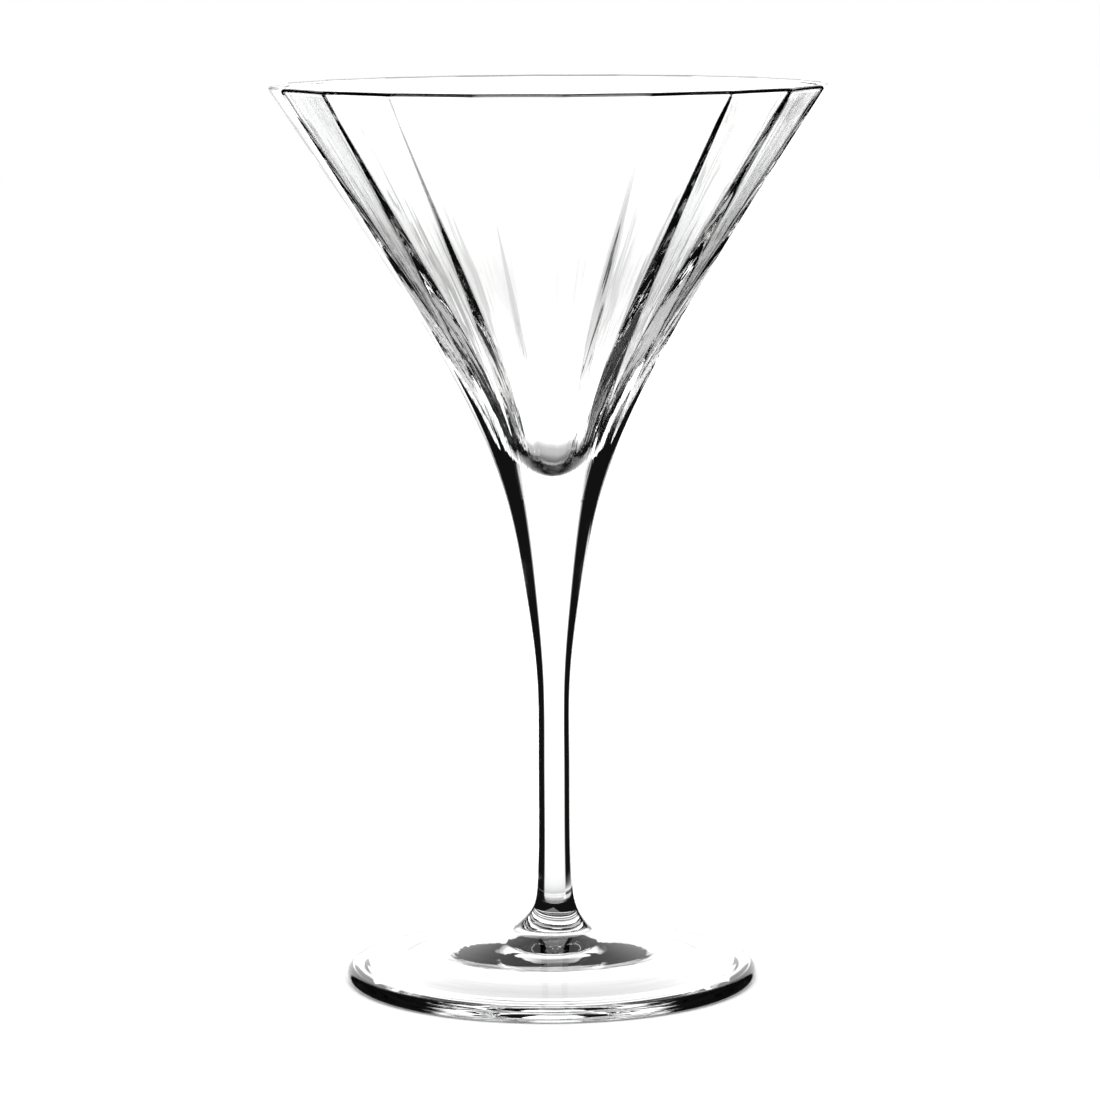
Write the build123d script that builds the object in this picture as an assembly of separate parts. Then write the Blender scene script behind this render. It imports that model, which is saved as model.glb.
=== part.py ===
from build123d import *
import os
from math import cos, radians, sin, tan

# Stemmed cocktail glass in clear glass, made as three gathers fused end to end: a blown conical bowl with
# flat optic panels, a solid drawn stem and a round pressed foot. Lengths are in millimetres. The origin is
# the centre of the ring that the foot stands on, and +Z runs up the axis of the glass.

# Overall size
HEIGHT = 187.0
RIM_RADIUS = 57.5           # from the axis to a corner between two panels, at the lip
FOOT_RADIUS = 43.0

# Planes where the gathers are fused, and the glass's radius there
BOWL_JOINT_Z = 102.0
BOWL_JOINT_RADIUS = 9.9
FOOT_JOINT_Z = 14.0
FOOT_JOINT_RADIUS = 5.2

# Bowl
PANELS = 20
CORNER_AZIMUTH = 2.7        # degrees from the +X axis round to the nearest corner
LIP_WALL = 1.6              # horizontal thickness of the wall at the lip
WELL_FLOOR_Z = 107.8        # lowest point of the inside
# Inside of the bowl, from its rounded tip up to where the wall gets thin: radius at a corner, and height
INSIDE = [(4.2, 110.4), (6.6, 113.8), (9.2, 120.0), (14.9, 131.0), (31.2, 153.0), (37.6, 161.2)]

# Stem
WAIST_RADIUS = 3.35         # thinnest place
WAIST_Z = 45.0

# Foot
EDGE_THICKNESS = 3.2
RING_OUTER_RADIUS = 41.4    # flat ring that the glass stands on
RING_INNER_RADIUS = 38.5
HOLLOW_HEIGHT = 5.6         # how far the underside rises in the middle
# Underside between the middle and the ring: radius and height
UNDERSIDE = [(10.0, 5.0), (20.0, 3.9), (26.0, 2.85), (34.0, 0.85), (36.5, 0.25)]
COLLAR_RADIUS = 8.12        # where the cone on top of the foot turns up into the stem
COLLAR_Z = 10.5

HALF_PANEL = 180.0 / PANELS


def turned(*outline):
    """The solid that a closed outline in the XZ plane makes when it turns round the axis."""
    return revolve(make_face(Curve() + outline), Axis.Z)


def panel_sector():
    """One panel's slice of the wall and base, reaching from the axis out to the panel."""
    # A panel's middle is nearer to the axis than its corners are.
    middle = cos(radians(HALF_PANEL))
    outer_lip = (RIM_RADIUS * middle, 0, HEIGHT - LIP_WALL / 2)
    lip_top = (RIM_RADIUS * middle - LIP_WALL / 2, 0, HEIGHT)
    inner_lip = (RIM_RADIUS * middle - LIP_WALL, 0, HEIGHT - LIP_WALL / 2)
    inside = [(radius * middle, 0, z) for radius, z in reversed(INSIDE)]
    floor = (0, 0, WELL_FLOOR_Z)
    # The outside swells a little on the way down, so the wall thickens towards the base.
    outside = [(BOWL_JOINT_RADIUS + 1.0, 0, BOWL_JOINT_Z), (17.8, 0, 122), (33.7, 0, 150), outer_lip]
    outline = [
        Line((0, 0, BOWL_JOINT_Z), outside[0]),
        Spline(*outside),
        ThreePointArc(outer_lip, lip_top, inner_lip),
        Spline(inner_lip, *inside, floor, tangents=[(-0.7, 0, -1), (-1, 0, 0)]),
        Line(floor, (0, 0, BOWL_JOINT_Z)),
    ]
    half_width = RIM_RADIUS * sin(radians(HALF_PANEL)) + 1
    slab = extrude(make_face(Curve() + outline), half_width, both=True)
    far = RIM_RADIUS + 5
    corner = (far, far * tan(radians(HALF_PANEL)))
    wedge = extrude(make_face(Polyline((0, 0), corner, (corner[0], -corner[1]), close=True)), HEIGHT + 5)
    return slab & wedge


def bowl():
    """The panelled cone, trimmed by the round trumpet that carries on up from the stem."""
    sector = panel_sector()
    cone = Part()
    for panel in range(PANELS):
        cone += Rot(0, 0, CORNER_AZIMUTH + HALF_PANEL * (2 * panel + 1)) * sector
    top = (RIM_RADIUS + 6, 0, HEIGHT + 1)
    joint = (BOWL_JOINT_RADIUS, 0, BOWL_JOINT_Z)
    trumpet = turned(
        Line((0, 0, BOWL_JOINT_Z), joint),
        Spline(joint, (13.4, 0, 112), (19.4, 0, 124), top),
        Line(top, (0, 0, HEIGHT + 1)),
        Line((0, 0, HEIGHT + 1), (0, 0, BOWL_JOINT_Z)),
    )
    return cone & trumpet


def stem():
    """Drawn rod that narrows to a waist and opens into a trumpet under the bowl."""
    waist = (WAIST_RADIUS, 0, WAIST_Z)
    low = (FOOT_JOINT_RADIUS, 0, FOOT_JOINT_Z)
    high = (BOWL_JOINT_RADIUS, 0, BOWL_JOINT_Z)
    return turned(
        Line((0, 0, FOOT_JOINT_Z), low),
        Spline(low, (3.7, 0, 20), waist, tangents=[(-0.7, 0, 1), (0, 0, 1)]),
        Spline(waist, (3.55, 0, 64), (5.8, 0, 82), high, tangents=[(0, 0, 1), (0.29, 0, 1)]),
        Line(high, (0, 0, BOWL_JOINT_Z)),
        Line((0, 0, BOWL_JOINT_Z), (0, 0, FOOT_JOINT_Z)),
    )


def foot():
    """Disc with a rounded edge, a low cone on top, a collar that flares up to the stem, and a hollow below."""
    edge = (FOOT_RADIUS, 0, EDGE_THICKNESS / 2)
    ring = (RING_OUTER_RADIUS, 0, 0)
    hollow = [(radius, 0, z) for radius, z in UNDERSIDE]
    ring_inside = (RING_INNER_RADIUS, 0, 0)
    crown = (0, 0, HOLLOW_HEIGHT)
    shoulder = (RING_OUTER_RADIUS, 0, EDGE_THICKNESS)
    collar = (COLLAR_RADIUS, 0, COLLAR_Z)
    top = (FOOT_JOINT_RADIUS, 0, FOOT_JOINT_Z)
    return turned(
        ThreePointArc(ring, edge, shoulder),
        Line(shoulder, collar),
        Spline(collar, top, tangents=[(-1, 0, 0.25), (-0.7, 0, 1)]),
        Line(top, (0, 0, FOOT_JOINT_Z)),
        Line((0, 0, FOOT_JOINT_Z), crown),
        Spline(crown, *hollow, ring_inside, tangents=[(1, 0, 0), (1, 0, -0.03)]),
        Line(ring_inside, ring),
    )


os.makedirs("parts", exist_ok=True)
for name, solid in {"bowl": bowl(), "stem": stem(), "foot": foot()}.items():
    export_step(solid, f"parts/{name}.step")
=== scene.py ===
from math import cos, pi, radians, sin

import bpy
import numpy as np
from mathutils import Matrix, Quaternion, Vector


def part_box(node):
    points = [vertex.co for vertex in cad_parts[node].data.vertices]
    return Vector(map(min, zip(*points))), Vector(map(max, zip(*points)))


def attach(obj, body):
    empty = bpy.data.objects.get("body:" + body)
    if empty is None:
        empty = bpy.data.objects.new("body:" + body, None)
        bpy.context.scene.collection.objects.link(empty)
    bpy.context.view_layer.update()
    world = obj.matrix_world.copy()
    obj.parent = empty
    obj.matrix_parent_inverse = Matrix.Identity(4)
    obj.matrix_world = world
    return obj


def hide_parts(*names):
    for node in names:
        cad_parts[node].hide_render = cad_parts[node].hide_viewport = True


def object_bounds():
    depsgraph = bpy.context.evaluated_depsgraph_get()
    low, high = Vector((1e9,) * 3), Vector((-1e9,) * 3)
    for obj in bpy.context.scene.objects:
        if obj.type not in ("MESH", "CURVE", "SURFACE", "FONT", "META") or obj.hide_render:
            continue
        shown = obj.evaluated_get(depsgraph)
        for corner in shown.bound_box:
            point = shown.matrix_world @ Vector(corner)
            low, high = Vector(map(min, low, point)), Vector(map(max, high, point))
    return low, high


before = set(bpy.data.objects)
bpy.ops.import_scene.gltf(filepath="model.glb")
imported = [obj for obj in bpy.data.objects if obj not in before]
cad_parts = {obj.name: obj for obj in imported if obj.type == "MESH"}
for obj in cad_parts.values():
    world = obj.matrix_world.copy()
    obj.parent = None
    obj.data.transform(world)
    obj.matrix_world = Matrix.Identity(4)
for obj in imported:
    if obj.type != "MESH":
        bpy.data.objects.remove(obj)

cad_low, cad_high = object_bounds()

# Lengths are in millimetres up to closed_piece, which makes metres of them.
MM = 0.001

# ---------------------------------------------------------------- sizes that the frame gives
HEIGHT = cad_high.z / MM
BOWL_JOINT_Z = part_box("bowl")[0].z / MM
FOOT_JOINT_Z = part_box("stem")[0].z / MM
FOOT_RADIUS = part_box("foot")[1].x / MM
PANELS = 20
HALF_PANEL = pi / PANELS
CORNER_AZIMUTH = radians(2.7)
RIM_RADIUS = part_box("bowl")[1].x / MM / cos(CORNER_AZIMUTH)

# ---------------------------------------------------------------- shape
LIP_WALL = 1.6
LIP_Z = HEIGHT - LIP_WALL / 2
WELL_FLOOR_Z = 107.8
EDGE = 3.2
RING_OUT = FOOT_RADIUS - EDGE / 2
RING_IN = 38.5
HOLLOW = 5.6
COLLAR = (8.12, 10.5)
# How far the fillet at the collar reaches out along the cone, and up
FILLET_OUT = 1.2
FILLET_UP = 0.7
# A faint groove that the mould leaves round the top of the foot
GROOVE_RADIUS = 39.3
GROOVE_WIDTH = 0.9
GROOVE_DEPTH = 0.2
# Outside of the stem and bowl, upwards: height and radius
STEM_LOW = [(10.5, 8.12), (14, 5.2), (20, 3.7), (45, 3.35)]
STEM_HIGH = [(45, 3.35), (64, 3.55), (82, 5.8), (102, 9.9), (122, 18.0), (150, 34.1)]
# Inside of the bowl at a corner, and the underside of the foot: radius and height
INSIDE = [(4.2, 110.4), (6.6, 113.8), (9.2, 120.0), (14.9, 131.0), (31.2, 153.0), (37.6, 161.2)]
UNDERSIDE = [(10, 5.0), (20, 3.9), (26, 2.85), (34, 0.85), (36.5, 0.25)]
# Heights between which the round base turns into panels, outside and inside
PANELS_OUT = (108.5, 117)
PANELS_IN = (108, 120)
# How hollow each panel is low down and at the lip, as a share of the radius, and where that starts to grow
DISH_LOW = 0.0024
DISH_TOP = 0.009
DISH_Z = 145
# How sharp the corners between panels are outside, inside and in the rounded tip of the inside
SHARP_OUT = 420.0
SHARP_IN = 300.0
SHARP_WELL = 40.0
# Heights between which the corners of the inside sharpen
SHARPEN = (108, 135)
# Signs of hand work. The inside sits off centre. The axis wanders towards +X between the foot and the stem,
# and part of the way back between the stem and the rim. Each has the heights between which it comes in. The
# bowl's surface has slow waves.
INSIDE_SHIFT = -0.3
INSIDE_SHIFTS = (110, 150)
STEM_DRIFT = 0.78
STEM_DRIFTS = (8.5, 16)
RIM_DRIFT = 0.4
RIM_DRIFTS = (100, 190)
WAVES = 12
WAVE_SIZE = 0.01


def spline(knots, start_slope=None, end_slope=None):
    """The smooth curve y(x) through a few knots. An end with no slope given is left straight."""
    x, y = np.array(knots, float).T
    n, h = len(x), np.diff(x)
    matrix, right = np.zeros((n, n)), np.zeros(n)
    for i in range(1, n - 1):
        matrix[i, i - 1:i + 2] = h[i], 2 * (h[i - 1] + h[i]), h[i - 1]
        right[i] = 3 * (h[i] * (y[i] - y[i - 1]) / h[i - 1] + h[i - 1] * (y[i + 1] - y[i]) / h[i])
    for end, inner, slope in ((0, 1, start_slope), (-1, -2, end_slope)):
        if slope is None:
            matrix[end, end], matrix[end, inner] = 2, 1
            right[end] = 3 * (y[inner] - y[end]) / (x[inner] - x[end])
        else:
            matrix[end, end], right[end] = 1, slope
    slopes = np.linalg.solve(matrix, right)

    def curve(at):
        at = np.clip(at, x[0], x[-1])
        i = np.clip(np.searchsorted(x, at) - 1, 0, n - 2)
        t = (at - x[i]) / h[i]
        return (y[i] * (1 + 2 * t) * (1 - t) ** 2 + y[i + 1] * t * t * (3 - 2 * t)
                + h[i] * (slopes[i] * t * (1 - t) ** 2 - slopes[i + 1] * t * t * (1 - t)))
    return curve


upper = spline(STEM_HIGH + [(LIP_Z, RIM_RADIUS)], 0)
lower = spline(STEM_LOW, None, 0)


def outside(z):
    """Radius of the glass's outside above the foot's collar."""
    return float(lower(z)) if z < STEM_HIGH[0][0] else float(upper(z))


def smooth(at, low, high):
    """0 below low, 1 above high, and a smooth step between them."""
    t = np.clip((at - low) / (high - low), 0, 1)
    return t * t * (3 - 2 * t)


def drift(z):
    """How far the axis has wandered towards +X at a height."""
    return STEM_DRIFT * smooth(z, *STEM_DRIFTS) - (STEM_DRIFT - RIM_DRIFT) * smooth(z, *RIM_DRIFTS)


def ring(z, radius, azimuths):
    """One row of points round the axis. radius is one number, or one for each azimuth."""
    radius = np.broadcast_to(radius, azimuths.shape)
    x = radius * np.cos(azimuths) + drift(z)
    return np.stack([x, radius * np.sin(azimuths), np.full(azimuths.shape, z)], 1)


def panelled(azimuths, z, sharpness):
    """Radius of a polygon with rounded corners and hollow sides, as a share of its radius at a corner."""
    dish = DISH_LOW + (DISH_TOP - DISH_LOW) * smooth(z, DISH_Z, LIP_Z)
    turn = (azimuths - CORNER_AZIMUTH) % (2 * HALF_PANEL) - HALF_PANEL
    near = np.cos(turn) ** sharpness + np.cos(2 * HALF_PANEL - np.abs(turn)) ** sharpness
    corner = 2 * cos(HALF_PANEL) ** sharpness
    return (near / corner) ** (-1 / sharpness) - dish * (1 - (turn / HALF_PANEL) ** 2)


def ripple(azimuths, z, seed):
    """Slow waves round and along the bowl, fading out below the panels and at the lip."""
    rng = np.random.default_rng(seed)
    waves = np.zeros(azimuths.shape)
    for _ in range(WAVES):
        count = rng.integers(20, 90)
        turn = 2 * pi * z / rng.uniform(25, 90) * rng.choice((-1, 1))
        waves += np.cos(count * azimuths + turn + rng.uniform(0, 2 * pi))
    fade = smooth(z, PANELS_OUT[0], PANELS_IN[1]) * smooth(LIP_Z - z, 0, 15)
    return WAVE_SIZE * waves / WAVES ** 0.5 * fade


def closed_piece(name, rows, low_tip, high_tip, before=None, after=None):
    """A closed mesh from rows of points, with a fan of faces to a tip at each end.

    before and after are the neighbouring piece's rows past a fused joint. They shape the normals at the
    joint, so that the glass looks whole there, and mark the fan at that end as the fused face.
    """
    rows = np.array(rows)
    count = rows.shape[1]
    padded = np.concatenate([[before if before is not None else 2 * rows[0] - rows[1]], rows,
                             [after if after is not None else 2 * rows[-1] - rows[-2]]])
    along = padded[2:] - padded[:-2]
    around = np.roll(rows, -1, 1) - np.roll(rows, 1, 1)
    normals = np.cross(around, along).reshape(-1, 3)
    normals /= np.linalg.norm(normals, axis=1)[:, None]
    tips = [(drift(z), 0, z) for z in (low_tip, high_tip)]
    points = np.concatenate([rows.reshape(-1, 3), tips]) * MM

    here = np.arange(count)
    beside = np.roll(here, -1)
    top = (len(rows) - 1) * count
    low, high = len(points) - 2, len(points) - 1
    faces = []
    for start in range(0, top, count):
        a, b = start + here, start + beside
        faces += np.stack([a, b, b + count, a + count], 1).tolist()
    quads = len(faces)
    faces += [(low, j, i) for i, j in zip(here.tolist(), beside.tolist())]
    faces += [(high, i, j) for i, j in zip((top + here).tolist(), (top + beside).tolist())]
    mesh = bpy.data.meshes.new(name)
    mesh.from_pydata(points.tolist(), [], faces)

    normals = np.concatenate([normals, [(0, 0, -1), (0, 0, 1)]])
    corners = np.zeros(len(mesh.loops), int)
    mesh.loops.foreach_get("vertex_index", corners)
    corner_normals = normals[corners]
    fused = np.zeros(len(faces), bool)
    for joined, face, up in ((before is not None, quads, -1), (after is not None, quads + count, 1)):
        if joined:
            fused[face:face + count] = True
            corner = 4 * quads + 3 * (face - quads)
            corner_normals[corner:corner + 3 * count] = (0, 0, up)
    mesh.polygons.foreach_set("material_index", fused.astype(int))
    mesh.polygons.foreach_set("use_smooth", ~fused)
    mesh.normals_split_custom_set(corner_normals.tolist())
    mesh.update()
    piece = bpy.data.objects.new(name, mesh)
    bpy.context.scene.collection.objects.link(piece)
    return piece


def make_bowl():
    # 16 columns to a panel, closer together towards its corners
    t = np.linspace(-1, 1, 16, endpoint=False)
    t = np.sign(t) * (1 - (1 - np.abs(t)) ** 1.7)
    panels = 2 * HALF_PANEL * np.arange(PANELS)[:, None]
    columns = (CORNER_AZIMUTH + HALF_PANEL + t * HALF_PANEL + panels).ravel()

    def outer_row(z):
        share = 1 - smooth(z, *PANELS_OUT) * (1 - panelled(columns, z, SHARP_OUT))
        return ring(z, outside(z) * share + ripple(columns, z, seed=3), columns)

    rows = [outer_row(BOWL_JOINT_Z + (LIP_Z - BOWL_JOINT_Z) * t) for t in np.linspace(0, 1, 100) ** 1.25]
    wall = LIP_WALL / cos(HALF_PANEL)
    lip_shape = panelled(columns, LIP_Z, SHARP_OUT)
    for a in np.linspace(0, pi, 13)[1:-1]:
        radius = RIM_RADIUS - wall * (1 - cos(a)) / 2
        rows.append(ring(LIP_Z + LIP_WALL / 2 * sin(a), radius * lip_shape, columns))

    # The inside follows its outline's length, because it turns level at the floor.
    outline = np.array([(0, WELL_FLOOR_Z)] + INSIDE + [(RIM_RADIUS - wall, LIP_Z)], float)
    length = np.concatenate([[0], np.cumsum(np.hypot(*np.diff(outline, axis=0).T))])
    radius_at = spline(np.stack([length, outline[:, 0]], 1), 1)
    z_at = spline(np.stack([length, outline[:, 1]], 1), 0)
    for at in length[-1] * (1 - np.linspace(0, 1, 150)[:-1] ** 0.8):
        z = float(z_at(at))
        sharpness = SHARP_WELL + (SHARP_IN - SHARP_WELL) * smooth(z, *SHARPEN)
        share = 1 - smooth(z, *PANELS_IN) * (1 - panelled(columns, z, sharpness))
        row = ring(z, radius_at(at) * share + ripple(columns, z, seed=4), columns)
        row[:, 0] += INSIDE_SHIFT * smooth(z, *INSIDE_SHIFTS) * smooth(LIP_Z - z, 0, 6)
        rows.append(row)
    # The row past the joint is as far from it as the first row above it is.
    return closed_piece("bowl_glass", rows, BOWL_JOINT_Z, WELL_FLOOR_Z, before=outer_row(BOWL_JOINT_Z - 0.27))


def make_stem():
    columns = np.linspace(0, 2 * pi, 240, endpoint=False)
    heights = FOOT_JOINT_Z + (BOWL_JOINT_Z - FOOT_JOINT_Z) * np.linspace(0, 1, 150) ** 1.2
    rows = [ring(z, outside(z), columns) for z in heights]
    # The rows past the joints are as far from them as the rows next to them in the stem are.
    below, above = [ring(z, outside(z), columns) for z in (FOOT_JOINT_Z - 0.22, BOWL_JOINT_Z + 0.71)]
    return closed_piece("stem_glass", rows, FOOT_JOINT_Z, BOWL_JOINT_Z, below, above)


def make_foot():
    under = spline([(0, HOLLOW)] + UNDERSIDE + [(RING_IN, 0)], 0, -0.03)
    outline = [(r, float(under(r))) for r in np.linspace(0.5, RING_IN, 60)]
    outline += [(r, 0.0) for r in np.linspace(RING_IN, RING_OUT, 5)[1:]]
    for a in np.linspace(-pi / 2, pi / 2, 25)[1:]:
        outline.append((RING_OUT + EDGE / 2 * cos(a), EDGE / 2 * (1 + sin(a))))
    # A straight cone with its groove, and a fillet that turns it up into the collar
    edge, collar = np.array((RING_OUT, EDGE)), np.array(COLLAR)
    cone_end = collar + (edge - collar) * FILLET_OUT / (RING_OUT - collar[0])
    fillet_end = np.array((outside(COLLAR[1] + FILLET_UP), COLLAR[1] + FILLET_UP))
    for t in np.linspace(0, 1, 90)[1:] ** 1.6:
        r, z = edge + (cone_end - edge) * t
        groove = GROOVE_DEPTH * float(np.exp(-((r - GROOVE_RADIUS) / GROOVE_WIDTH) ** 2))
        outline.append((r, z - groove))
    for t in np.linspace(0, 1, 14)[1:]:
        outline.append(cone_end * (1 - t) ** 2 + collar * 2 * t * (1 - t) + fillet_end * t * t)
    outline += [(outside(z), z) for z in np.linspace(fillet_end[1], FOOT_JOINT_Z, 22)[1:]]
    columns = np.linspace(0, 2 * pi, 320, endpoint=False)
    above = FOOT_JOINT_Z + 0.15
    rows = [ring(z, r, columns) for r, z in outline]
    return closed_piece("foot_glass", rows, HOLLOW, FOOT_JOINT_Z, after=ring(above, outside(above), columns))


# ---------------------------------------------------------------- materials
def add(tree, kind, inputs, **settings):
    """A new node. Each of its inputs is set to a value, or linked to another node's output."""
    made = tree.nodes.new("ShaderNode" + kind)
    for name, value in settings.items():
        setattr(made, name, value)
    for name, value in inputs.items():
        if isinstance(value, bpy.types.NodeSocket):
            tree.links.new(value, made.inputs[name])
        else:
            made.inputs[name].default_value = value
    return made.outputs[0] if made.outputs else made


def glass_material(name, grain, depth):
    """Clear glass with faint streaks in its surface and slightly uneven clearness.

    grain says how fine the streaks are round the axis, out from it and up it. depth is in millimetres.
    """
    made = bpy.data.materials.new(name)
    made.use_nodes = True
    tree = made.node_tree
    shader = tree.nodes["Principled BSDF"]
    shader.inputs["IOR"].default_value = 1.52
    shader.inputs["Transmission Weight"].default_value = 1.0

    place = add(tree, "TexCoord", {}).node.outputs["Object"]
    flat = add(tree, "VectorMath", {0: place, 1: (1, 1, 0)}, operation="MULTIPLY")
    facing = add(tree, "VectorMath", {0: flat}, operation="NORMALIZE")
    around = add(tree, "VectorMath", {0: facing, "Scale": grain[0]}, operation="SCALE")
    radius = add(tree, "VectorMath", {0: flat}, operation="LENGTH").node.outputs["Value"]
    height = add(tree, "SeparateXYZ", {0: place}).node.outputs["Z"]
    lift = add(tree, "Math", {0: height, 1: grain[2]}, operation="MULTIPLY")
    along = add(tree, "Math", {0: radius, 1: grain[1], 2: lift}, operation="MULTIPLY_ADD")
    upwards = add(tree, "CombineXYZ", {"Z": along})
    streak_place = add(tree, "VectorMath", {0: around, 1: upwards}, operation="ADD")
    streaks = add(tree, "TexNoise", {"Vector": streak_place, "Scale": 1.0, "Detail": 1.0, "Roughness": 0.5})
    bump = add(tree, "Bump", {"Height": streaks, "Strength": 1.0, "Distance": depth * MM})
    clouds = add(tree, "TexNoise", {"Vector": place, "Scale": 60.0, "Detail": 2.0})
    rough = add(tree, "MapRange", {"Value": clouds, "From Min": 0.3, "From Max": 0.7,
                                   "To Min": 0.0, "To Max": 0.004})
    # Sockets 6 and 7 are the mix's two colours.
    tints = {"Factor": clouds, 6: (0.985, 0.995, 1.0, 1), 7: (1.0, 0.998, 0.985, 1)}
    tint = add(tree, "Mix", tints, data_type="RGBA").node.outputs[2]
    tree.links.new(bump, shader.inputs["Normal"])
    tree.links.new(rough, shader.inputs["Roughness"])
    tree.links.new(tint, shader.inputs["Base Color"])
    return made


def fused_material():
    """Nothing to see: it is on faces inside the glass, where two pieces are one."""
    made = bpy.data.materials.new("fused_joint")
    made.use_nodes = True
    tree = made.node_tree
    tree.nodes.clear()
    through = add(tree, "BsdfTransparent", {})
    add(tree, "OutputMaterial", {"Surface": through})
    return made


# Drawing lines run down the bowl and stem, and spinning rings go round the foot. Each row gives the piece's
# node, what makes it, the grain of its streaks and their depth.
PIECES = [
    ("bowl", make_bowl, (28.0, 0.0, 12.0), 0.03),
    ("stem", make_stem, (5.0, 0.0, 14.0), 0.006),
    ("foot", make_foot, (1.2, 700.0, 500.0), 0.014),
]
fused = fused_material()
for node, make, grain, depth in PIECES:
    piece = make()
    piece.data.materials.append(glass_material(node + "_clear_glass", grain, depth))
    piece.data.materials.append(fused)
    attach(piece, "root")
    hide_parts(node)

# ---------------------------------------------------------------- camera
LENS = 152.74
CAMERA_PLACE = (0.0001, -0.9608, 0.2207)
PITCH = 7.715
ROLL = -0.3
camera = bpy.data.objects.new("camera", bpy.data.cameras.new("camera"))
bpy.context.scene.collection.objects.link(camera)
bpy.context.scene.camera = camera
camera.data.sensor_width = 36
camera.data.lens = LENS
camera.location = CAMERA_PLACE
look = Vector((0, cos(radians(PITCH)), -sin(radians(PITCH))))
camera.rotation_mode = "QUATERNION"
camera.rotation_quaternion = look.to_track_quat("-Z", "Y") @ Quaternion((0, 0, 1), radians(ROLL))

# ---------------------------------------------------------------- floor
bpy.ops.mesh.primitive_circle_add(vertices=128, radius=3.0, fill_type="NGON", location=(0, 0, 0))
floor = bpy.context.object
floor.name = "floor"
paper = bpy.data.materials.new("floor_paper")
paper.use_nodes = True
paper_shader = paper.node_tree.nodes["Principled BSDF"]
paper_shader.inputs["Base Color"].default_value = (0.9, 0.9, 0.9, 1)
paper_shader.inputs["Roughness"].default_value = 1.0
paper_shader.inputs["Specular IOR Level"].default_value = 0.0
floor.data.materials.append(paper)
# The glass shows the studio's light instead of the floor, as on a table of lit glass.
floor.visible_transmission = False
floor.visible_glossy = False

# ---------------------------------------------------------------- studio light
# A soft panel stands behind the glass, brightest at eye level, and the rest of the studio is dark, which
# draws the glass's edges. Directions are in degrees: azimuth from +Y towards +X, and elevation.
BACK_HALF = 28.0
BACK_SOFT = 3.0
# Brightness of the rest of the studio, and of what the floor gets
DARK = 0.006
FLOOR_LIGHT = 1.9
# Brightness of the panel at each elevation
BACK = [(-90, 0.22), (-55, 0.2), (-40, 0.33), (-30, 0.58), (-21, 0.7), (-18, 0.85), (-15, 1.07), (-13, 1.33),
        (-11, 1.5), (-6, 1.7), (2, 1.7), (12, 1.5), (25, 1.0), (40, 0.3), (55, 0.1), (90, 0.05)]
# Panels for views from other sides and above: centre, half width, lowest and highest elevation, brightness.
# Their edges fade over SIDE_SOFT degrees across and up.
SIDE_SOFT = (4.0, 3.0)
SIDES = [(-45, 21, -44, -18, 1.2), (135, 28, -26, -4, 1.4), (-90, 28, -26, 14, 1.5), (0, 190, -95, -64, 0.9)]
world = bpy.data.worlds.new("studio")
bpy.context.scene.world = world
world.use_nodes = True
tree = world.node_tree
tree.nodes.clear()


def calc(operation, *values):
    return add(tree, "Math", dict(enumerate(values)), operation=operation)


def step(value, low, high):
    """0 below low, 1 above high and smooth between them. low may be above high."""
    if low > high:
        return calc("SUBTRACT", 1.0, step(value, high, low))
    ends = {"Value": value, "From Min": low, "From Max": high}
    return add(tree, "MapRange", ends, interpolation_type="SMOOTHSTEP")


def between(value, low, high, soft):
    return calc("MULTIPLY", step(value, low - soft, low + soft), step(value, high + soft, high - soft))


def turned_from(centre):
    """Azimuth from a centre, in -180 to 180."""
    return calc("SUBTRACT", calc("MODULO", calc("ADD", azimuth, 540.0 - centre), 360.0), 180.0)


def graded(value, points):
    """A smooth curve through (input, output) points."""
    low, high, top = points[0][0], points[-1][0], max(level for _, level in points)
    share = add(tree, "MapRange", {"Value": value, "From Min": low, "From Max": high})
    curved = add(tree, "FloatCurve", {"Value": share})
    mapping = curved.node.mapping
    curve = mapping.curves[0]
    places = [((at - low) / (high - low), level / top) for at, level in points]
    curve.points[0].location, curve.points[-1].location = places[0], places[-1]
    for place in places[1:-1]:
        curve.points.new(*place)
    mapping.update()
    return calc("MULTIPLY", curved, top)


direction = add(tree, "SeparateXYZ", {0: add(tree, "TexCoord", {})})
towards_x, towards_y, towards_z = direction.node.outputs
azimuth = calc("MULTIPLY", calc("ARCTAN2", towards_x, towards_y), 180 / pi)
elevation = calc("MULTIPLY", calc("ARCSINE", towards_z), 180 / pi)
behind = between(turned_from(0), -BACK_HALF, BACK_HALF, BACK_SOFT)
light = calc("MULTIPLY", behind, graded(elevation, BACK))
path = add(tree, "LightPath", {}).node.outputs
# Light that was reflected inside the glass doesn't see these panels, so that its edges stay dark.
straight = calc("LESS_THAN", path["Glossy Depth"], 0.5)
for centre, half, low, high, level in SIDES:
    across = between(turned_from(centre), -half, half, SIDE_SOFT[0])
    side = calc("MULTIPLY", across, between(elevation, low, high, SIDE_SOFT[1]))
    side = calc("MULTIPLY", calc("MULTIPLY", side, level), straight)
    light = calc("MAXIMUM", light, side)
light = calc("ADD", light, DARK)
# The backdrop itself is plain white, and so is the floor, which gets enough light to match it.
light = calc("MAXIMUM", light, calc("MULTIPLY", path["Is Diffuse Ray"], FLOOR_LIGHT))
seen = path["Is Camera Ray"]
light = calc("ADD", calc("MULTIPLY", light, calc("SUBTRACT", 1.0, seen)), seen)
add(tree, "OutputWorld", {"Surface": add(tree, "Background", {"Color": light, "Strength": 1.0})})

scene = bpy.context.scene
scene.view_settings.view_transform = "Standard"
scene.cycles.max_bounces = 32
scene.cycles.transmission_bounces = 32
scene.cycles.glossy_bounces = 16
scene.cycles.transparent_max_bounces = 32
scene.cycles.diffuse_bounces = 2
